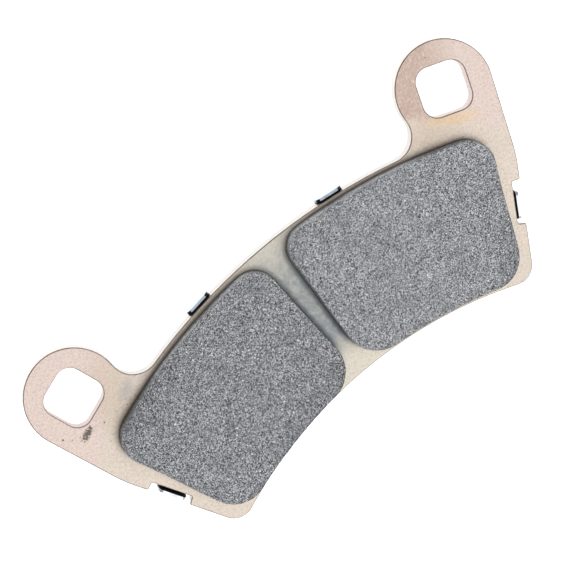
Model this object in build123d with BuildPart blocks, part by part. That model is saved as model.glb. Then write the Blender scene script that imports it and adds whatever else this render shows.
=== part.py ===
"""Two-block sintered disc brake pad with two clip-on shims, in millimetres.

The pad lies on its shims. +Z points out of the friction face, +X runs along the pad, and +Y points
away from the rotor's axis, towards the two ears. The origin is under the middle of the pad's box.
"""

from build123d import *
import os
from math import acos, asin, cos, degrees, radians, sin, tan

# Layout: the two guide holes set the row that every drop below counts down from
hole_pitch = 108.65
hole_row_y = 17.41

# Backing plate
plate_thickness = 4.8
plate_top_radius = 142.0
plate_top_drop = 1.22
plate_low_radius = 106.0
plate_low_drop = 38.2
plate_low_corner = 4.6
ear_radius = 11.4
ear_lean = 21.2
neck_radius = 5.9
shoulder_radius = 30.0
side_lean = 30.1
front_edge_radius = 0.3
back_edge_chamfer = 0.35

# Guide holes in the ears: rounded squares, turned to lean much as the ears do
hole_size = 11.7
hole_lean = 20.0
hole_corner = 3.4

# Notches in the plate's two sides, where the shims' side tabs sit
notch_x = 52.45
notch_drop = 31.67
notch_depth = 1.95
notch_floor_length = 9.8
notch_upper_flare = 0.2
notch_lower_flare = 0.1
notch_corner = 0.45

# Friction blocks, and the copper layers that bond them to the plate. The two blocks sit a little
# off their nominal height, one low and one high, as sintered blocks do.
block_height = 4.6
block_draft = 1.5
block_top_radius = 142.0
block_top_drop = 2.27
block_low_radius = 109.0
block_low_drop = 37.2
block_side_drop = 29.0
block_outer_x = 48.65
block_outer_lean = 23.9
block_inner_x = 1.8
block_inner_lean = 2.4
block_corner_radii = {"outer_low": 7.9, "inner_low": 8.3, "outer_top": 6.4, "inner_top": 5.8}
block_edge_radius = 0.35
block_shift = {"left": -0.15, "right": 0.15}
bond_thickness = 0.2

# Shims: a damping shim of rubber, steel and rubber against the plate, and a bare steel cover. Their
# side tabs stand a little low in the notches with play round them, and the shims sit to the left.
rubber_thickness = 0.1
core_thickness = 0.2
cover_thickness = 0.6
plate_clearance = 0.05
notch_clearance = 0.25
shim_shift = -0.2
cover_clearance = 0.04
first_bend_radius = 0.4
panel_inset = 1.0
panel_corner = 5.0
relief_radius = 0.6
tab_width = 6.6
tab_foot = 3.0
tab_corner_radius = 1.4
tab_top_drop = 0.3
top_tab_x = 19.1
side_tab_drop = 0.6

# Heights of the stack, from the surface that the pad lies on
damping_z = cover_thickness
plate_z = damping_z + core_thickness + 2 * rubber_thickness
face_z = plate_z + plate_thickness
block_z = face_z + bond_thickness
tab_top_z = face_z - tab_top_drop

# Heights well above and well below the pad's arcs, where construction lines end
past_arcs = 1.4
high_y = hole_row_y
low_y = hole_row_y - past_arcs * plate_low_drop

SIDES = {"left": -1, "right": 1}


def outwards(lean):
    """The direction square to a side that leans outwards by this angle from vertical."""
    return Vector(cos(radians(lean)), -sin(radians(lean)))


def upwards(lean):
    """The direction up along a side that leans outwards by this angle from vertical."""
    return Vector(sin(radians(lean)), cos(radians(lean)))


def point_at(start, lean, y):
    """The point at height y on the line through start that leans outwards by this angle."""
    return Vector(start.X + tan(radians(lean)) * (y - start.Y), y)


def arc_centre(radius, drop):
    """The centre of an arc whose crown lies on the Y axis, this far below the hole row."""
    return Vector(0, hole_row_y - drop - radius)


def cut_by_arcs(top_radius, top_drop, low_radius, low_drop):
    """Trim the sketch that is being built to between an upper and a lower arc."""
    with Locations(arc_centre(top_radius, top_drop)):
        Circle(top_radius, mode=Mode.INTERSECT)
    with Locations(arc_centre(low_radius, low_drop)):
        Circle(low_radius, mode=Mode.SUBTRACT)


# --- Backing plate -------------------------------------------------------------------------

# The neck's hollow arc touches both the plate's upper arc and the ear from outside, so the centres
# of the three arcs make a triangle whose sides are known
ear_centre = Vector(hole_pitch / 2, hole_row_y)
top_centre = arc_centre(plate_top_radius, plate_top_drop)
to_ear = ear_centre - top_centre
top_to_neck = plate_top_radius + neck_radius
ear_to_neck = ear_radius + neck_radius
neck_cosine = (top_to_neck**2 + to_ear.length**2 - ear_to_neck**2) / (2 * top_to_neck * to_ear.length)
neck_turn = degrees(acos(neck_cosine))
neck_centre = top_centre + to_ear.normalized().rotate(Axis.Z, neck_turn) * top_to_neck
neck_start = top_centre + (neck_centre - top_centre).normalized() * plate_top_radius
neck_end = ear_centre + (neck_centre - ear_centre).normalized() * ear_radius

# The ear's outer side runs straight down to the shoulder, and the plate's side on from there
ear_crown = ear_centre + Vector(0, ear_radius)
ear_side_start = ear_centre + outwards(ear_lean) * ear_radius
notch_mouth = Vector(notch_x, hole_row_y - notch_drop)
ear_side = Axis(tuple(ear_side_start), tuple(upwards(ear_lean)))
plate_side = Axis(tuple(notch_mouth), tuple(upwards(side_lean)))
shoulder = ear_side.intersect(plate_side)
side_end = point_at(notch_mouth, side_lean, low_y)

# The notch's corners, from its upper mouth corner round to its lower one
notch_floor = notch_mouth - outwards(side_lean) * notch_depth
half_floor = notch_floor_length / 2
notch_corners = [
    notch_mouth + upwards(side_lean) * (half_floor + notch_upper_flare),
    notch_floor + upwards(side_lean) * half_floor,
    notch_floor - upwards(side_lean) * half_floor,
    notch_mouth - upwards(side_lean) * (half_floor + notch_lower_flare),
]
side_radii = [shoulder_radius] + [notch_corner] * len(notch_corners)

with BuildPart() as backing_plate:
    with BuildSketch(Plane.XY.offset(plate_z)) as outline:
        with BuildLine():
            RadiusArc(top_centre + Vector(0, plate_top_radius), neck_start, plate_top_radius)
            RadiusArc(neck_start, neck_end, -neck_radius)
            ThreePointArc(neck_end, ear_crown, ear_side_start)
            FilletPolyline(ear_side_start, shoulder, *notch_corners, side_end, radius=side_radii)
            Line(side_end, (0, low_y))
            mirror(about=Plane.YZ)
        make_face()
        with Locations(arc_centre(plate_low_radius, plate_low_drop)):
            Circle(plate_low_radius, mode=Mode.SUBTRACT)
        fillet(outline.vertices().group_by(Axis.Y)[0], plate_low_corner)
        for side in SIDES.values():
            with Locations((side * ear_centre.X, ear_centre.Y)):
                lean = -side * hole_lean
                RectangleRounded(hole_size, hole_size, hole_corner, rotation=lean, mode=Mode.SUBTRACT)
    extrude(amount=plate_thickness)
    fillet(backing_plate.faces().sort_by(Axis.Z)[-1].edges(), front_edge_radius)
    chamfer(backing_plate.faces().sort_by(Axis.Z)[0].outer_wire().edges(), back_edge_chamfer)


# --- Friction blocks and bond layers -------------------------------------------------------
def block_outline(side, shift):
    """The footprint of one friction block, moved away from the rotor's axis by shift."""
    outer = Vector(block_outer_x, hole_row_y - block_side_drop)
    inner = Vector(block_inner_x, hole_row_y - block_side_drop)
    side_points = [
        point_at(inner, block_inner_lean, high_y),
        point_at(inner, block_inner_lean, low_y),
        point_at(outer, block_outer_lean, low_y),
        point_at(outer, block_outer_lean, high_y),
    ]
    with BuildSketch() as footprint:
        with BuildLine():
            # Counterclockwise on either side, so that both faces look up
            Polyline(*[(side * point.X, point.Y) for point in side_points[::side]], close=True)
        make_face()
        cut_by_arcs(block_top_radius, block_top_drop, block_low_radius, block_low_drop)
        # From the lowest corner up they are in the order that block_corner_radii lists
        corners = [vertex.center() for vertex in footprint.vertices().sort_by(Axis.Y)]
        for corner, radius in zip(corners, block_corner_radii.values()):
            fillet(footprint.vertices().sort_by_distance(corner)[0], radius)
    return footprint.sketch.moved(Location((0, shift)))


friction_blocks = {}
bond_layers = {}
for name, side in SIDES.items():
    footprint = block_outline(side, block_shift[name])
    with BuildPart() as friction_block:
        with BuildSketch(Plane.XY.offset(block_z)):
            add(footprint)
        extrude(amount=block_height, taper=block_draft)
        fillet(friction_block.faces().sort_by(Axis.Z)[-1].edges(), block_edge_radius)
    with BuildPart() as bond_layer:
        with BuildSketch(Plane.XY.offset(face_z)):
            add(footprint)
        extrude(amount=bond_thickness)
    friction_blocks[name] = friction_block.part
    bond_layers[name] = bond_layer.part


# --- Shims ---------------------------------------------------------------------------------

# Where the tabs stand: at the plate's edge, with local X pointing outwards, before the shims shift
top_tab_lean = degrees(asin(top_tab_x / plate_top_radius))
top_tab_foot = top_centre + upwards(top_tab_lean) * plate_top_radius
side_tab_foot = notch_floor + outwards(side_lean) * (notch_clearance - plate_clearance)
side_tab_foot -= upwards(side_lean) * side_tab_drop
right_tabs = [(top_tab_foot, 90 - top_tab_lean), (side_tab_foot, -side_lean)]
tab_places = [Location((foot.X, foot.Y), turn) for foot, turn in right_tabs]
tab_places += [Location((-foot.X, foot.Y), 180 - turn) for foot, turn in right_tabs]

# The flat of both shims, with a round relief on each side of every tab
panel_side = side_tab_foot - outwards(side_lean) * panel_inset
right_points = [point_at(panel_side, block_outer_lean, y) for y in (high_y, low_y)]
left_points = [(-point.X, point.Y) for point in reversed(right_points)]
relief_offset = tab_width / 2 + relief_radius
with BuildSketch() as panel:
    with BuildLine():
        Polyline(*right_points, *left_points, close=True)
    make_face()
    top_arc = (plate_top_radius - panel_inset, plate_top_drop + panel_inset)
    low_arc = (plate_low_radius + panel_inset, plate_low_drop - panel_inset)
    cut_by_arcs(*top_arc, *low_arc)
    fillet(panel.vertices(), panel_corner)
    with Locations(*tab_places):
        with Locations((-panel_inset, relief_offset), (-panel_inset, -relief_offset)):
            Circle(relief_radius, mode=Mode.SUBTRACT)


def shim_layer(z, thickness, wall, bend):
    """One layer of a shim, with its flat at height z and four tabs turned up along the plate's edge.

    wall is the gap from the plate's edge to the tabs, and bend is the radius inside their bends.
    """
    with BuildPart() as tab:
        with BuildSketch(Plane.XZ):
            with BuildLine():
                near = [(-tab_foot, z + thickness), (wall, z + thickness), (wall, tab_top_z)]
                far = [(-tab_foot, z), (wall + thickness, z), (wall + thickness, tab_top_z)]
                inside = FilletPolyline(*near, radius=bend)
                outside = FilletPolyline(*far, radius=bend + thickness)
                Line(inside @ 0, outside @ 0)
                Line(inside @ 1, outside @ 1)
            make_face()
        extrude(amount=tab_width / 2, both=True)
        fillet(tab.edges().filter_by(Axis.X).group_by(Axis.Z)[-1], tab_corner_radius)
    with BuildPart() as layer:
        with BuildSketch(Plane.XY.offset(z)):
            add(panel.sketch)
        extrude(amount=thickness)
        with Locations(*tab_places):
            add(tab.part)
    return layer.part.moved(Location((shim_shift, 0)))


# From the plate outwards: each layer's height, its gap from the plate's edge and its bend
core_z = damping_z + rubber_thickness
core_wall = plate_clearance + rubber_thickness
core_bend = first_bend_radius + rubber_thickness
outer_rubber_wall = core_wall + core_thickness
outer_rubber_bend = core_bend + core_thickness
cover_wall = outer_rubber_wall + rubber_thickness + cover_clearance
cover_bend = outer_rubber_bend + rubber_thickness

inner_rubber = shim_layer(core_z + core_thickness, rubber_thickness, plate_clearance, first_bend_radius)
shim_core = shim_layer(core_z, core_thickness, core_wall, core_bend)
outer_rubber = shim_layer(damping_z, rubber_thickness, outer_rubber_wall, outer_rubber_bend)
cover_shim = shim_layer(0, cover_thickness, cover_wall, cover_bend)

# --- Files ---------------------------------------------------------------------------------
pieces = {
    "backing_plate": backing_plate.part,
    "friction_block_left": friction_blocks["left"],
    "friction_block_right": friction_blocks["right"],
    "bond_layer_left": bond_layers["left"],
    "bond_layer_right": bond_layers["right"],
    "damping_shim_inner_rubber": inner_rubber,
    "damping_shim_core": shim_core,
    "damping_shim_outer_rubber": outer_rubber,
    "cover_shim": cover_shim,
}
os.makedirs("parts", exist_ok=True)
for label, piece in pieces.items():
    piece.label = label
    export_step(piece, f"parts/{label}.step")
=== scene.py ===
"""The looks of a two-block sintered brake pad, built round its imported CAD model, in metres."""

import bpy
import numpy as np
from math import cos, radians, sin
from mathutils import Matrix, Vector
from types import SimpleNamespace


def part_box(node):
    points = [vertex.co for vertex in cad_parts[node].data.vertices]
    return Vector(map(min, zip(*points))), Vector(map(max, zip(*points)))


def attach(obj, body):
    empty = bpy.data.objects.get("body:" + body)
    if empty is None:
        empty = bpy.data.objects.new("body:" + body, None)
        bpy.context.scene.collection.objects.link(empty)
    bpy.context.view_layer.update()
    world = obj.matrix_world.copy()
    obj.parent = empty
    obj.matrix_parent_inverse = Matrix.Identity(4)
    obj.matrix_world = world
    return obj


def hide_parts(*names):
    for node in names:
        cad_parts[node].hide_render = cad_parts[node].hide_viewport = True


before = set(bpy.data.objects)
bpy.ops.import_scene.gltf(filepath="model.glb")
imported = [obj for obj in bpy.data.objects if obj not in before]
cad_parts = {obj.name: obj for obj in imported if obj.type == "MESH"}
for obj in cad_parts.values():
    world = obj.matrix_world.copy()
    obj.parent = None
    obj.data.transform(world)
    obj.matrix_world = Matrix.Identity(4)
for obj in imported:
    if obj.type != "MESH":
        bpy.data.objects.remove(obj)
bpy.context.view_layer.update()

MM = 0.001

# The camera looks down on the friction face, leaning towards the ears, with the pad turned in the view
VIEW_DISTANCE = 680 * MM
VIEW_WIDTH = 130.0 * MM
VIEW_TILT = 11.0
VIEW_AZIMUTH = 101.5
VIEW_ROLL = 39.86
VIEW_CENTRE = Vector((-1.52, 5.27, 5.8)) * MM
SENSOR_WIDTH = 36.0

# Grain of the sintered friction blocks
GRID_STEP = 0.165 * MM
GRAIN_SIZE = 0.3 * MM
GRAIN_RELIEF = 0.055 * MM
EDGE_RADIUS = 0.35 * MM
EDGE_RINGS = 5
WALL_RINGS = 9
CELL_REPEAT = 64

FLOOR_DROP = 16 * MM
FLOOR_REACH = 3.0
FLOOR_GLOW = 0.68
SKY_STRENGTH = 0.35

# Sizes and places that the materials use, in millimetres, as their nodes have them. A pair is where a
# fade starts and ends, but a SLOPE is how fast a fade goes along X and along Y, and a WAY is a direction.
SPECK_SIZE = 0.17
FOOT_SHADE_FADE = (8.9, 6.7)
LIP_SHADE_HEIGHT = (9.8, 10.2)
LIP_SHADE_WAY = (0.6, -0.8, 0.0)
TAB_HEIGHT = (3.0, 4.0)

HOLE_ROW_Y = 17.41
HOLE_X = 54.3
HOLE_EDGE = (9.3, 8.7)
EAR_LINE_X = 43.6
EAR_LINE_SLOPE = (0.695, 0.719)
OUTER_EAR_SLOPE = (0.8, -0.5)
OUTER_EAR = (29.0, 40.0)
GREEN_MIDDLE = (4.0, 15.0)
GAP_TOP = (22.0, 3.5)
GAP_FOOT = (-17.0, -9.0)
GAP_SIDE = (2.5, 9.0)
CORNER_REACH = 2.3
ARC_DROP = 0.22
SHADOW_ABOVE_BLOCKS = (8.0, 16.0)
SHADOW_OUTSIDE_BLOCKS = (5.0, 16.0)

# Marks on the plate: centre, turn in degrees, half size, raggedness, softness and size of their tears
LEFT_NECK = ((-47, 13.5), 60, (8, 4.5), 0.5, 0.7)
RIGHT_NECK = ((45, 11.5), -30, (6, 3.5), 0.5, 0.7)
HEAT_TINT = ((51.6, 10.9), -30, (6.0, 1.3), 0.6, 0.6)
BLUE_PATCH = ((-44.3, 11.2), 30, (2.4, 1.2), 2.2, 0.5, 0.5)
SMUDGE = ((-57.2, 9.1), 15, (1.7, 0.8), 2.2, 0.3, 0.5)
DIRTY_EAR = ((-58, 8), 0, (9, 6), 0.6, 0.4)


def node_box(name):
    """A CAD node's lowest and highest corners, as two vectors."""
    low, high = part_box(name)
    return Vector(low), Vector(high)


# --- Camera ----------------------------------------------------------------------------------
def make_camera():
    """The camera, at the angle that the pad is seen from."""
    tilt = radians(VIEW_TILT)
    azimuth = radians(VIEW_AZIMUTH)
    back = Vector((sin(tilt) * cos(azimuth), sin(tilt) * sin(azimuth), cos(tilt)))
    level = Vector((1, 0, 0))
    level = (level - level.dot(back) * back).normalized()
    rise = back.cross(level)
    roll = radians(VIEW_ROLL)
    right = cos(roll) * level - sin(roll) * rise
    up = sin(roll) * level + cos(roll) * rise
    camera_data = bpy.data.cameras.new("camera")
    camera_data.sensor_width = SENSOR_WIDTH
    camera_data.lens = SENSOR_WIDTH * VIEW_DISTANCE / VIEW_WIDTH
    camera_data.clip_start = 10 * MM
    camera = bpy.data.objects.new("camera", camera_data)
    bpy.context.scene.collection.objects.link(camera)
    turn = Matrix((right, up, back)).transposed().to_4x4()
    camera.matrix_world = Matrix.Translation(VIEW_CENTRE + back * VIEW_DISTANCE) @ turn
    bpy.context.scene.camera = camera


make_camera()


# --- Material nodes --------------------------------------------------------------------------
def wire(tree, value, socket):
    """Give a socket a value, or link it to another node's output."""
    if isinstance(value, bpy.types.NodeSocket):
        tree.links.new(value, socket)
    else:
        socket.default_value = value


def add(tree, kind, sockets=None, **settings):
    """Add a node with these settings, and wire its inputs."""
    node = tree.nodes.new("ShaderNode" + kind)
    for name, value in settings.items():
        setattr(node, name, value)
    for key, value in (sockets or {}).items():
        wire(tree, value, node.inputs[key])
    return node


def calc(tree, operation, *values):
    """The result of a maths node."""
    return add(tree, "Math", dict(enumerate(values)), operation=operation).outputs[0]


def spread(tree, value, low, high, to_low=0.0, to_high=1.0, curve="SMOOTHSTEP"):
    """Map a value from one range to another, held at both ends."""
    sockets = {"Value": value, "From Min": low, "From Max": high, "To Min": to_low, "To Max": to_high}
    return add(tree, "MapRange", sockets, interpolation_type=curve).outputs[0]


def blend(tree, factor, first, second):
    """Mix two colours."""
    node = add(tree, "Mix", data_type="RGBA")
    for index, value in ((0, factor), (6, first), (7, second)):
        wire(tree, value, node.inputs[index])
    return node.outputs[2]


def masked(tree, colour, mask, strength, over):
    """Lay a colour over another where a mask is 1."""
    return blend(tree, calc(tree, "MULTIPLY", mask, strength), colour, over)


def noise(tree, where, size, detail=2.0, roughness=0.5, distortion=0.0):
    """Smooth noise whose features are about this many of the position's units across."""
    sockets = {"Vector": where, "Scale": 1 / size, "Detail": detail}
    sockets.update({"Roughness": roughness, "Distortion": distortion})
    return add(tree, "TexNoise", sockets).outputs["Fac"]


def new_material(name, metallic, roughness):
    """A material, its node tree, its shader and the position in millimetres."""
    material = bpy.data.materials.new(name)
    material.use_nodes = True
    tree = material.node_tree
    shader = tree.nodes["Principled BSDF"]
    shader.inputs["Metallic"].default_value = metallic
    shader.inputs["Roughness"].default_value = roughness
    place = add(tree, "TexCoord").outputs["Object"]
    where = add(tree, "VectorMath", {0: place, 3: 1 / MM}, operation="SCALE").outputs[0]
    return material, tree, shader, where


def srgb(red, green, blue):
    """A display colour from 0 to 255, as the linear colour that shaders use."""
    linear = []
    for value in (red, green, blue):
        share = value / 255
        linear.append(share / 12.92 if share <= 0.04045 else ((share + 0.055) / 1.055) ** 2.4)
    return (*linear, 1.0)


# --- Palette ---------------------------------------------------------------------------------
CREAM = srgb(199, 188, 177)
WARM_CREAM = srgb(203, 191, 179)
PINK = srgb(204, 187, 179)
DARK_PINK = srgb(175, 152, 140)
GOLD = srgb(208, 178, 130)
TAN = srgb(178, 158, 136)
SAGE = srgb(196, 190, 177)
GAP_TINT_AND_SHADE = srgb(129, 137, 140)
PLATE_SHADE = srgb(150, 142, 130)
BLUE_GREY = srgb(150, 152, 154)
BLOCK_SHADOW_BROWN = srgb(90, 86, 77)
SHADE_BLUE = srgb(50, 61, 72)
EDGE_SHADE_BROWN = srgb(104, 88, 78)
PALE_WALL_REFLECTION = srgb(228, 222, 216)
PINK_HOLE_WALL_REFLECTION = srgb(212, 195, 190)
SHEET_GREY = srgb(152, 162, 173)
SHEET_SHADE = srgb(118, 127, 138)
SHEET_REFLECTION_BRIGHT = srgb(236, 240, 245)
SHEET_CORNER_SHADE = srgb(36, 38, 42)
SCRATCH = srgb(238, 228, 220)
SOOT_AND_SHADE = srgb(26, 24, 24)
GRAIN_DARK = srgb(30, 32, 36)
GRAIN_LIGHT = srgb(205, 206, 209)
GRAIN_GLINT = srgb(240, 241, 244)
GRAIN_BLUE = srgb(116, 124, 133)
BLOCK_FOOT_SHADE = srgb(92, 86, 82)
LIP_SHADE_DARK = srgb(44, 40, 38)
RUBBER_DARK = srgb(3, 3, 4)
RUBBER_LIGHT = srgb(10, 10, 11)
COPPER = srgb(120, 84, 62)
COPPER_SHADE = srgb(70, 50, 40)
CORE_STEEL = srgb(24, 25, 27)
CORE_SHADE = srgb(12, 12, 14)
FLOOR_WHITE = srgb(250, 250, 250)
WHITE = srgb(255, 255, 255)


def place_from(tree, where, centre, turn, reach):
    """Position in a turned frame round a centre on the plate, where 1 is this reach along each axis."""
    sockets = {"Vector": where, "Location": (*centre, 0)}
    sockets.update({"Rotation": (0, 0, radians(turn)), "Scale": (*reach, 1e3)})
    return add(tree, "Mapping", sockets, vector_type="TEXTURE").outputs[0]


def blot(tree, where, centre, turn, reach, ragged, soft, grit=0.9):
    """A ragged oval mark on the plate, 1 inside and 0 outside, torn by noise of this grit."""
    inside = place_from(tree, where, centre, turn, reach)
    size = add(tree, "VectorMath", {0: inside}, operation="LENGTH").outputs["Value"]
    wobble = calc(tree, "MULTIPLY_ADD", noise(tree, where, grit, 4.0, 0.75), 2 * ragged, -ragged)
    return spread(tree, calc(tree, "ADD", size, wobble), 1 - soft, 1 + soft, 1.0, 0.0)


def specks(tree, where, pitch, share, size):
    """Small round specks, in this share of the cells of this pitch."""
    cells = add(tree, "TexVoronoi", {"Vector": where, "Scale": 1 / pitch})
    pick = add(tree, "SeparateColor", {0: cells.outputs["Color"]})
    reach = calc(tree, "MULTIPLY", pick.outputs[1], size / pitch)
    near = calc(tree, "LESS_THAN", cells.outputs["Distance"], reach)
    return calc(tree, "MULTIPLY", near, calc(tree, "LESS_THAN", pick.outputs[0], share))


def scratches(tree, where, turn):
    """Short fine brush lines at this angle across the plate."""
    return noise(tree, place_from(tree, where, (0, 0), turn, (1.8, 0.24)), 1.0, 3.0, 0.65, 0.4)


def facing_up(tree):
    """1 on the faces that lie flat, 0 on upright walls."""
    normal = add(tree, "TexCoord").outputs["Normal"]
    return calc(tree, "ABSOLUTE", add(tree, "SeparateXYZ", {0: normal}).outputs[2])


def near_walls(tree, reach):
    """An ambient-occlusion mask for painted shade: 1 in the corner between a face and the walls that stand
    on it, fading to 0 at this reach.
    """
    shelter = add(tree, "AmbientOcclusion", {"Distance": reach * MM}, samples=16)
    return spread(tree, shelter.outputs["AO"], 0.5, 1.0, 1.0, 0.0, "LINEAR")


# --- The plate's plating ---------------------------------------------------------------------
def plate_places(tree, where):
    """What places the plate's colours: position, facing, the gap, and noises that cloud and tear them."""
    across, along, _ = add(tree, "SeparateXYZ", {0: where}).outputs
    at = SimpleNamespace(where=where, across=across, along=along)
    at.off_middle = calc(tree, "ABSOLUTE", across)
    at.facing = facing_up(tree)
    at.cloud = noise(tree, where, 6.0, 4.0, 0.6)
    at.fine = noise(tree, where, 0.45, 3.0, 0.7)
    at.torn = calc(tree, "MULTIPLY_ADD", noise(tree, where, 1.2, 4.0, 0.7), 3.0, -1.5)
    at.gap = calc(tree, "MULTIPLY", spread(tree, along, *GAP_TOP), spread(tree, along, *GAP_FOOT))
    at.gap = calc(tree, "MULTIPLY", at.gap, spread(tree, at.off_middle, *GAP_SIDE, 1.0, 0.0))
    return at


def plate_ears(tree, at, colour):
    """Pinker ears, beyond a line that slopes outwards from each neck."""
    beyond = calc(tree, "MULTIPLY", calc(tree, "SUBTRACT", at.off_middle, EAR_LINE_X), EAR_LINE_SLOPE[0])
    above = calc(tree, "MULTIPLY", calc(tree, "SUBTRACT", at.along, HOLE_ROW_Y), EAR_LINE_SLOPE[1])
    ear = spread(tree, calc(tree, "ADD", calc(tree, "ADD", beyond, above), at.torn), -1.2, 1.2)
    colour = masked(tree, colour, ear, 1.0, PINK)

    # The right ear's outer side is darker, and brushed in crossing strokes
    outer = calc(tree, "MULTIPLY", at.along, OUTER_EAR_SLOPE[1])
    outer = calc(tree, "MULTIPLY_ADD", at.across, OUTER_EAR_SLOPE[0], outer)
    outer = spread(tree, calc(tree, "ADD", outer, at.torn), *OUTER_EAR, 1.0, 0.0)
    on_right = spread(tree, at.across, -1.0, 1.0)
    toned = calc(tree, "MULTIPLY", calc(tree, "MULTIPLY", outer, ear), on_right)
    colour = masked(tree, colour, toned, spread(tree, at.cloud, 0.3, 0.7, 0.75, 1.0), DARK_PINK)
    brushed = calc(tree, "MAXIMUM", scratches(tree, at.where, 70), scratches(tree, at.where, 10))
    brushed = calc(tree, "MULTIPLY", spread(tree, brushed, 0.54, 0.7), toned)
    return masked(tree, colour, brushed, 0.45, SCRATCH)


def plate_middle(tree, at, colour):
    """Dull towards the necks, greener in the middle, greyer between the blocks (partly a tint, partly
    painted shade of the narrow gap), and mottled all over.
    """
    necks = calc(tree, "MAXIMUM", blot(tree, at.where, *LEFT_NECK), blot(tree, at.where, *RIGHT_NECK))
    colour = masked(tree, colour, necks, 0.35, TAN)
    colour = masked(tree, colour, spread(tree, at.off_middle, *GREEN_MIDDLE, 1.0, 0.0), 0.85, SAGE)
    stains = noise(tree, at.where, 1.6, 4.0, 0.7)
    # Between the blocks: a grey tint with painted shade of the narrow gap, mottled
    colour = masked(tree, colour, at.gap, spread(tree, stains, 0.35, 0.62, 0.62, 1.0), GAP_TINT_AND_SHADE)
    return blend(tree, spread(tree, at.fine, 0.4, 0.75, 0.0, 0.5), colour, PLATE_SHADE)


def plate_tints(tree, at, colour):
    """A heat tint by the right hole, and a blue-grey patch by the left block."""
    colour = masked(tree, colour, blot(tree, at.where, *HEAT_TINT), 0.42, GOLD)
    return masked(tree, colour, blot(tree, at.where, *BLUE_PATCH), 0.5, BLUE_GREY)


def plate_dirt(tree, at):
    """Dark dots here and there, with more of them and a smudge on the left ear."""
    on_ear = specks(tree, at.where, 1.3, 0.5, 0.3)
    on_ear = calc(tree, "MULTIPLY", on_ear, blot(tree, at.where, *DIRTY_EAR))
    on_ear = calc(tree, "MAXIMUM", on_ear, blot(tree, at.where, *SMUDGE))
    return calc(tree, "MAXIMUM", on_ear, specks(tree, at.where, 2.2, 0.2, 0.2))


def plate_shade(tree, at, colour):
    """Painted shade by the blocks: a brown shadow above their upper edges, deep blue shade along the gap's
    walls, and a black contact shadow in every corner.
    """
    shelter = near_walls(tree, CORNER_REACH)
    # A brown painted shadow of the blocks, on the plate above their upper edges
    arc = calc(tree, "MULTIPLY_ADD", at.off_middle, ARC_DROP, at.along)
    above = spread(tree, arc, *SHADOW_ABOVE_BLOCKS, 0.04, 0.68)
    above = calc(tree, "MULTIPLY", above, spread(tree, at.off_middle, *SHADOW_OUTSIDE_BLOCKS, 0.05, 1.0))
    colour = masked(tree, colour, calc(tree, "POWER", shelter, 1.6), above, BLOCK_SHADOW_BROWN)
    # Deep blue painted shade along the walls of the narrow gap
    deep = calc(tree, "MULTIPLY", spread(tree, shelter, 0.3, 0.62), at.gap)
    colour = masked(tree, colour, deep, 0.58, SHADE_BLUE)
    # A black painted contact shadow in the corners by the walls
    return masked(tree, colour, spread(tree, shelter, 0.72, 0.97), 0.5, SOOT_AND_SHADE)


def plate_edges(tree, at, colour):
    """Painted dark shade in patches along the rounded edges, a pale painted reflection on the cut walls,
    pinker in the guide holes.
    """
    flat_place = add(tree, "CombineXYZ", {0: at.off_middle, 1: at.along}).outputs[0]
    hole_centre = {0: flat_place, 1: (HOLE_X, HOLE_ROW_Y, 0.0)}
    from_hole = add(tree, "VectorMath", hole_centre, operation="DISTANCE").outputs["Value"]
    in_hole = spread(tree, from_hole, *HOLE_EDGE)
    # A painted dark shade on the rounded edges, in patches
    edge = spread(tree, at.facing, 0.985, 0.93)
    edge = calc(tree, "MULTIPLY", edge, spread(tree, at.facing, 0.1, 0.3))
    edge = calc(tree, "MULTIPLY", edge, spread(tree, at.torn, -0.7, 0.7, 0.35, 0.8))

    # The painted edge shade is fainter round the left hole
    faint = calc(tree, "MULTIPLY", in_hole, spread(tree, at.across, 1.0, -1.0, 0.0, 0.6))
    edge = calc(tree, "MULTIPLY", edge, calc(tree, "SUBTRACT", 1.0, faint))
    colour = blend(tree, edge, colour, EDGE_SHADE_BROWN)
    # The cut walls get a pale painted reflection, pinker in the guide holes
    cut_wall = blend(tree, in_hole, PALE_WALL_REFLECTION, PINK_HOLE_WALL_REFLECTION)
    return blend(tree, spread(tree, at.facing, 0.2, 0.05), colour, cut_wall)


def plated_steel():
    """Cream plating with the plate's tints and dirt, and painted shade, shadows and reflections by the
    blocks and along the edges.
    """
    material, tree, shader, where = new_material("plated_steel", 0.85, 0.36)
    at = plate_places(tree, where)
    dirt = plate_dirt(tree, at)
    colour = blend(tree, spread(tree, at.cloud, 0.35, 0.65), CREAM, WARM_CREAM)
    colour = plate_ears(tree, at, colour)
    colour = plate_middle(tree, at, colour)
    colour = plate_tints(tree, at, colour)
    colour = masked(tree, colour, dirt, 0.8, SOOT_AND_SHADE)
    colour = plate_shade(tree, at, colour)
    colour = plate_edges(tree, at, colour)
    tree.links.new(colour, shader.inputs["Base Color"])
    height = calc(tree, "MULTIPLY_ADD", dirt, -1.0, noise(tree, where, 0.3, 3.0, 0.6))
    bump = add(tree, "Bump", {"Strength": 0.15, "Distance": 0.05 * MM, "Height": height})
    tree.links.new(bump.outputs[0], shader.inputs["Normal"])
    tree.links.new(spread(tree, at.fine, 0.3, 0.7, 0.3, 0.42), shader.inputs["Roughness"])
    return material


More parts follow.
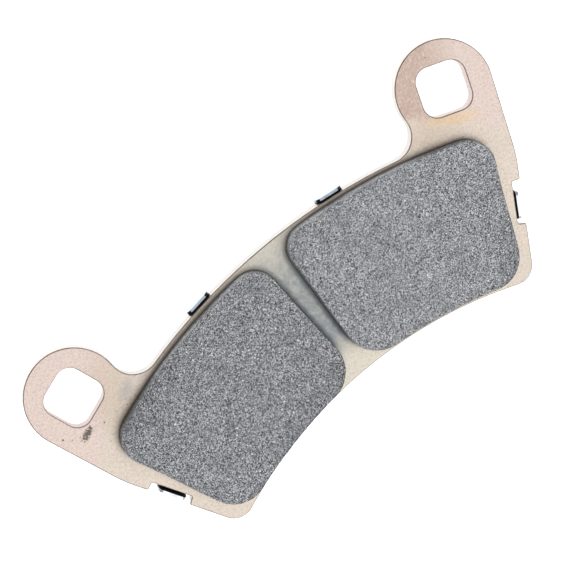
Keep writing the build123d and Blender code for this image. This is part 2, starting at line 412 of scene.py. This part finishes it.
# --- The other materials ---------------------------------------------------------------------
def sintered_metal():
    """Pressed and sintered metal grains, from near black to light, with painted glints, and painted shade
    at the foot of the walls and round the lip.
    """
    material, tree, shader, where = new_material("sintered_metal", 0.5, 0.5)
    grain = add(tree, "Attribute", attribute_name="grain").outputs["Fac"]
    height = add(tree, "SeparateXYZ", {0: where}).outputs[2]
    cells = add(tree, "TexVoronoi", {"Vector": where, "Scale": 1 / SPECK_SIZE})
    pick = add(tree, "SeparateColor", {0: cells.outputs["Color"]})
    mixed = calc(tree, "MULTIPLY_ADD", pick.outputs[0], 0.65, calc(tree, "MULTIPLY", grain, 0.35))
    colour = blend(tree, spread(tree, mixed, 0.24, 0.79, curve="LINEAR"), GRAIN_DARK, GRAIN_LIGHT)
    # Painted glints on a few grains
    glint = calc(tree, "GREATER_THAN", pick.outputs[1], 0.94)
    colour = masked(tree, colour, glint, 0.85, GRAIN_GLINT)
    pit = calc(tree, "LESS_THAN", pick.outputs[2], 0.09)
    colour = masked(tree, colour, pit, 0.8, SOOT_AND_SHADE)

    # A few larger bright flakes painted as glints, dark holes, and a slow bluish drift
    colour = blend(tree, specks(tree, where, 1.1, 0.3, 0.24), colour, GRAIN_GLINT)
    elsewhere = add(tree, "VectorMath", {0: where, 1: (7.3, 3.1, 0.0)}).outputs[0]
    colour = masked(tree, colour, specks(tree, elsewhere, 0.9, 0.25, 0.26), 0.85, SOOT_AND_SHADE)
    drift = noise(tree, where, 5.0, 2.0)
    colour = blend(tree, spread(tree, drift, 0.3, 0.7, 0.05, 0.3), colour, GRAIN_BLUE)

    # Painted shade: darker at the foot of the walls, and a dark line round the lip on the lower right
    # sides
    colour = blend(tree, spread(tree, height, *FOOT_SHADE_FADE, 0.0, 0.78), colour, BLOCK_FOOT_SHADE)
    # Painted shade round the lip, on the sides that face this way
    sides = {0: add(tree, "TexCoord").outputs["Normal"], 1: LIP_SHADE_WAY}
    outward = add(tree, "VectorMath", sides, operation="DOT_PRODUCT").outputs["Value"]
    outward = spread(tree, outward, 0.22, 0.45, 0.0, 0.85)
    colour = masked(tree, colour, outward, spread(tree, height, *LIP_SHADE_HEIGHT), LIP_SHADE_DARK)
    tree.links.new(colour, shader.inputs["Base Color"])
    tree.links.new(spread(tree, pick.outputs[1], 0.0, 1.0, 0.7, 0.4), shader.inputs["Roughness"])
    return material


def bare_steel(name, colour, shade, roughness):
    """Rolled sheet steel with a faint grain along its length."""
    material, tree, shader, where = new_material(name, 1.0, roughness)
    rolled = noise(tree, place_from(tree, where, (0, 0), 0, (4.0, 0.15)), 1.0, 3.0, 0.6)
    cloud = noise(tree, where, 2.0, 3.0, 0.6)
    mixed = blend(tree, spread(tree, rolled, 0.3, 0.7, 0.0, 0.5), colour, shade)
    mixed = blend(tree, spread(tree, cloud, 0.4, 0.75, 0.0, 0.4), mixed, shade)
    tree.links.new(mixed, shader.inputs["Base Color"])
    gloss = spread(tree, cloud, 0.3, 0.7, roughness - 0.06, roughness + 0.08)
    tree.links.new(gloss, shader.inputs["Roughness"])
    return material


def cover_steel():
    """The cover's bare sheet: grey flats, a bright painted reflection on the upright walls and side tabs,
    and painted shade in the top tabs' corners.
    """
    material, tree, shader, where = new_material("cover_steel", 1.0, 0.3)
    _, along, height = add(tree, "SeparateXYZ", {0: where}).outputs
    on_tabs = spread(tree, height, *TAB_HEIGHT)
    on_top_tabs = calc(tree, "MULTIPLY", on_tabs, spread(tree, along, 0.0, 1.0))
    on_side_tabs = calc(tree, "SUBTRACT", on_tabs, on_top_tabs)
    facing = facing_up(tree)
    rolled = noise(tree, place_from(tree, where, (0, 0), 0, (8.0, 0.12)), 1.0, 2.0, 0.6)
    cloud = noise(tree, where, 2.0, 3.0, 0.6)
    colour = blend(tree, spread(tree, rolled, 0.3, 0.7, 0.0, 0.3), SHEET_GREY, SHEET_SHADE)
    # Painted reflection: the upright walls and side tabs made bright
    upright = spread(tree, facing, 0.9, 0.2)
    bright = calc(tree, "MAXIMUM", upright, calc(tree, "MULTIPLY", on_side_tabs, 0.7))
    colour = blend(tree, bright, colour, SHEET_REFLECTION_BRIGHT)
    # Painted shade in the top tabs' bent corners
    corner = calc(tree, "MULTIPLY", spread(tree, facing, 0.98, 0.9), spread(tree, facing, 0.05, 0.3))
    colour = masked(tree, colour, corner, on_top_tabs, SHEET_CORNER_SHADE)
    colour = blend(tree, spread(tree, cloud, 0.4, 0.75, 0.0, 0.3), colour, SHEET_SHADE)
    tree.links.new(colour, shader.inputs["Base Color"])
    tree.links.new(spread(tree, cloud, 0.3, 0.7, 0.24, 0.38), shader.inputs["Roughness"])
    return material


def black_rubber():
    """The damping shim's matt black coating, faintly mottled and stippled."""
    material, tree, shader, where = new_material("shim_rubber", 0.0, 0.75)
    shader.inputs["Specular IOR Level"].default_value = 0.12
    fine = noise(tree, where, 0.4, 2.0)
    colour = blend(tree, spread(tree, fine, 0.3, 0.7), RUBBER_DARK, RUBBER_LIGHT)
    tree.links.new(colour, shader.inputs["Base Color"])
    bump = add(tree, "Bump", {"Strength": 0.2, "Distance": 0.02 * MM, "Height": fine})
    tree.links.new(bump.outputs[0], shader.inputs["Normal"])
    return material


def dress(name, material):
    """Give a CAD node a material."""
    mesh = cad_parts[name].data
    mesh.materials.clear()
    mesh.materials.append(material)


dress("backing_plate", plated_steel())
copper = bare_steel("bond_copper", COPPER, COPPER_SHADE, 0.5)
rubber = black_rubber()
for side in ("left", "right"):
    dress("bond_layer_" + side, copper)
for face in ("inner", "outer"):
    dress(f"damping_shim_{face}_rubber", rubber)
dress("damping_shim_core", bare_steel("shim_core_steel", CORE_STEEL, CORE_SHADE, 0.5))
dress("cover_shim", cover_steel())


# --- Friction blocks -------------------------------------------------------------------------
def block_rim(mesh, height):
    """The outline of a block at this height, in order round its middle, as an array of points."""
    points = np.array([vertex.co[:] for vertex in mesh.vertices])
    level = points[np.abs(points[:, 2] - height) < 0.01 * MM][:, :2]
    level = np.unique(np.round(level, 7), axis=0)
    middle = (level.min(axis=0) + level.max(axis=0)) / 2
    angle = np.arctan2(level[:, 1] - middle[1], level[:, 0] - middle[0])
    return level[np.argsort(angle)]


def line_length(points):
    """The length of an open line of points."""
    return np.linalg.norm(np.diff(points, axis=0), axis=1).sum()


def evenly(points, count):
    """Points at equal steps along an open line of points."""
    steps = np.linalg.norm(np.diff(points, axis=0), axis=1)
    run = np.concatenate([[0], np.cumsum(steps)])
    wanted = np.linspace(0, run[-1], count)
    return np.stack([np.interp(wanted, run, points[:, axis]) for axis in (0, 1)], axis=1)


def four_sides(rim):
    """Split a closed outline at its four corners into low, right, high and left sides."""
    middle = (rim.min(axis=0) + rim.max(axis=0)) / 2
    reach = (rim.max(axis=0) - rim.min(axis=0)) / 2
    places = (rim - middle) / reach
    corners = [int(np.argmax(places @ np.array(way))) for way in ((-1, -1), (1, -1), (1, 1), (-1, 1))]
    sides = []
    for start, end in zip(corners, corners[1:] + corners[:1]):
        stop = end if end > start else end + len(rim)
        sides.append(rim[np.arange(start, stop + 1) % len(rim)])
    return sides


def patch(sides, columns, rows):
    """A grid of points over a four-sided outline, spread smoothly between its sides."""
    low = evenly(sides[0], columns)
    right = evenly(sides[1], rows)
    high = evenly(sides[2], columns)[::-1]
    left = evenly(sides[3], rows)[::-1]
    across = np.linspace(0, 1, columns)[None, :, None]
    along = np.linspace(0, 1, rows)[:, None, None]
    ruled = (1 - along) * low[None] + along * high[None]
    ruled = ruled + (1 - across) * left[:, None] + across * right[:, None]
    corners = (1 - along) * ((1 - across) * low[0] + across * low[-1])
    corners = corners + along * ((1 - across) * high[0] + across * high[-1])
    return ruled - corners


def random_cells(points, size, seed):
    """Find each point's two nearest grain centres, in a lattice where each cell has one at random.

    Returns the distances to both, the offset from the nearest, and that grain's random numbers.
    """
    table = np.random.default_rng(seed).random((CELL_REPEAT, CELL_REPEAT, CELL_REPEAT, 7))
    home = np.floor(points / size).astype(int)
    nearest = np.full(len(points), np.inf)
    second = np.full(len(points), np.inf)
    offsets = np.zeros((len(points), 3))
    picks = np.zeros((len(points), 4))
    for step in np.ndindex(3, 3, 3):
        cell = home + np.array(step) - 1
        values = table[tuple(cell.T % CELL_REPEAT)]
        offset = points - (cell + 0.1 + 0.8 * values[:, :3]) * size
        distance = np.linalg.norm(offset, axis=1)
        nearer = distance < nearest
        second = np.where(nearer, nearest, np.minimum(second, distance))
        nearest = np.where(nearer, distance, nearest)
        offsets[nearer] = offset[nearer]
        picks[nearer] = values[nearer, 3:]
    return nearest, second, offsets, picks


def grain_relief(points, seed):
    """How far each point stands out of its surface, and how light its grain is.

    A grain is flat, a little tilted and a little higher or lower than the next, and falls off to its edge.
    """
    nearest, second, offsets, picks = random_cells(points, GRAIN_SIZE, seed)
    crest = np.clip((second - nearest) / (0.25 * GRAIN_SIZE), 0, 1)
    height = GRAIN_RELIEF * (picks[:, 0] - 0.75 + 0.5 * (crest - 1))
    tilt = 0.5 * (offsets * (picks[:, 1:] - 0.5)).sum(axis=1)
    # Darker towards the grain's edge: painted shade in the creases between grains
    tone = 0.25 + 0.15 * crest + 0.6 * crest * picks[:, 0]
    return height + tilt, tone


def wall_rings(rim, foot, high, low):
    """Rings of points from a face's rim, round its edge and down to its foot, and their normals."""
    outward = foot - rim
    reach = np.linalg.norm(outward, axis=1)[:, None]
    outward = outward / reach
    points = []
    normals = []
    for step in range(1, EDGE_RINGS + WALL_RINGS + 1):
        turn = radians(90) * min(step / EDGE_RINGS, 1)
        down = max(step - EDGE_RINGS, 0) / WALL_RINGS
        out = EDGE_RADIUS * sin(turn) + (reach - EDGE_RADIUS) * down
        fall = EDGE_RADIUS * (1 - cos(turn)) + (high - low - EDGE_RADIUS) * down
        points.append(np.column_stack([rim + outward * out, np.full(len(rim), high - fall)]))
        normals.append(np.column_stack([outward * sin(turn), np.full(len(rim), cos(turn))]))
    return np.concatenate(points), np.concatenate(normals)


def foot_below(rim, foot_rim):
    """The foot's point below each point of the rim, at the same angle round the rim's middle."""
    middle = (rim.min(axis=0) + rim.max(axis=0)) / 2
    foot_angle = np.arctan2(*(foot_rim - middle).T[::-1])
    order = np.argsort(foot_angle)
    foot_angle = foot_angle[order]
    angle = np.arctan2(*(rim - middle).T[::-1])
    lines = [np.interp(angle, foot_angle, line, period=radians(360)) for line in foot_rim[order].T]
    return np.column_stack(lines)


def block_faces(index, loop):
    """The quads of the top grid and of the rings below its rim, and one face that closes the foot."""
    quads = np.stack([index[:-1, :-1], index[:-1, 1:], index[1:, 1:], index[1:, :-1]], axis=-1)
    faces = [quads.reshape(-1, 4)]
    upper = loop
    for step in range(EDGE_RINGS + WALL_RINGS):
        lower = index.size + step * len(loop) + np.arange(len(loop))
        faces.append(np.stack([upper, lower, np.roll(lower, -1), np.roll(upper, -1)], axis=-1))
        upper = lower
    return np.concatenate(faces).tolist() + [upper[::-1].tolist()]


def granular_block(name, seed, tone_shift):
    """A friction block with the CAD block's outline, its faces covered in sintered grains."""
    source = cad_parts[name].data
    low, high = node_box(name)
    sides = four_sides(block_rim(source, high.z))
    columns, rows = (round(line_length(side) / GRID_STEP) for side in (sides[0], sides[3]))
    top = patch(sides, columns, rows).reshape(-1, 2)
    index = np.arange(rows * columns).reshape(rows, columns)
    loop = np.concatenate([index[0, :-1], index[:-1, -1], index[-1, :0:-1], index[:0:-1, 0]])
    rim = top[loop]
    foot = foot_below(rim, block_rim(source, low.z))
    rings, ring_normals = wall_rings(rim, foot, high.z, low.z)

    # Every point stands out by its grain, but for the foot's ring, which meets the bond layer
    points = np.concatenate([np.column_stack([top, np.full(len(top), high.z)]), rings])
    normals = np.concatenate([np.tile([0.0, 0.0, 1.0], (len(top), 1)), ring_normals])
    relief, tone = grain_relief(points, seed)
    relief[-len(loop) :] = 0
    points = points + normals * relief[:, None]

    mesh = bpy.data.meshes.new(name + "_grains")
    mesh.from_pydata(points.tolist(), [], block_faces(index, loop))
    tones = (tone + tone_shift).astype(np.float32)
    mesh.attributes.new("grain", "FLOAT", "POINT").data.foreach_set("value", tones)
    mesh.materials.append(friction_metal)
    block = bpy.data.objects.new(name + "_granular", mesh)
    bpy.context.scene.collection.objects.link(block)
    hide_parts(name)
    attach(block, "pad")


friction_metal = sintered_metal()
granular_block("friction_block_left", seed=11, tone_shift=0.0)
granular_block("friction_block_right", seed=12, tone_shift=0.15)


# --- Floor and light -------------------------------------------------------------------------
def make_floor():
    """A large pale floor, low enough to leave room for the shims when they are off the plate."""
    mesh = bpy.data.meshes.new("floor")
    square = ((-1, -1), (1, -1), (1, 1), (-1, 1))
    corners = [(x * FLOOR_REACH, y * FLOOR_REACH, -FLOOR_DROP) for x, y in square]
    mesh.from_pydata(corners, [], [(0, 1, 2, 3)])
    floor = bpy.data.objects.new("floor", mesh)
    bpy.context.scene.collection.objects.link(floor)
    material, _, shader, _ = new_material("floor", 0.0, 0.8)
    shader.inputs["Base Color"].default_value = FLOOR_WHITE
    shader.inputs["Emission Color"].default_value = WHITE
    shader.inputs["Emission Strength"].default_value = FLOOR_GLOW
    mesh.materials.append(material)


def soft_light(name, size, power, reach, towards):
    """A square white light that shines at the pad from this direction."""
    light_data = bpy.data.lights.new(name, "AREA")
    light_data.size = size
    light_data.energy = power
    light = bpy.data.objects.new(name, light_data)
    bpy.context.scene.collection.objects.link(light)
    direction = Vector(towards).normalized()
    light.location = VIEW_CENTRE + direction * reach
    light.rotation_euler = direction.to_track_quat("Z", "Y").to_euler()


def make_sky(strength):
    """An even white surround."""
    world = bpy.data.worlds.new("sky")
    bpy.context.scene.world = world
    world.use_nodes = True
    background = world.node_tree.nodes["Background"]
    background.inputs["Color"].default_value = WHITE
    background.inputs["Strength"].default_value = strength


make_floor()
make_sky(SKY_STRENGTH)
soft_light("softbox", size=1.6, power=10.5, reach=0.9, towards=(0.06, -0.5, 0.86))
bpy.context.scene.view_settings.view_transform = "Standard"
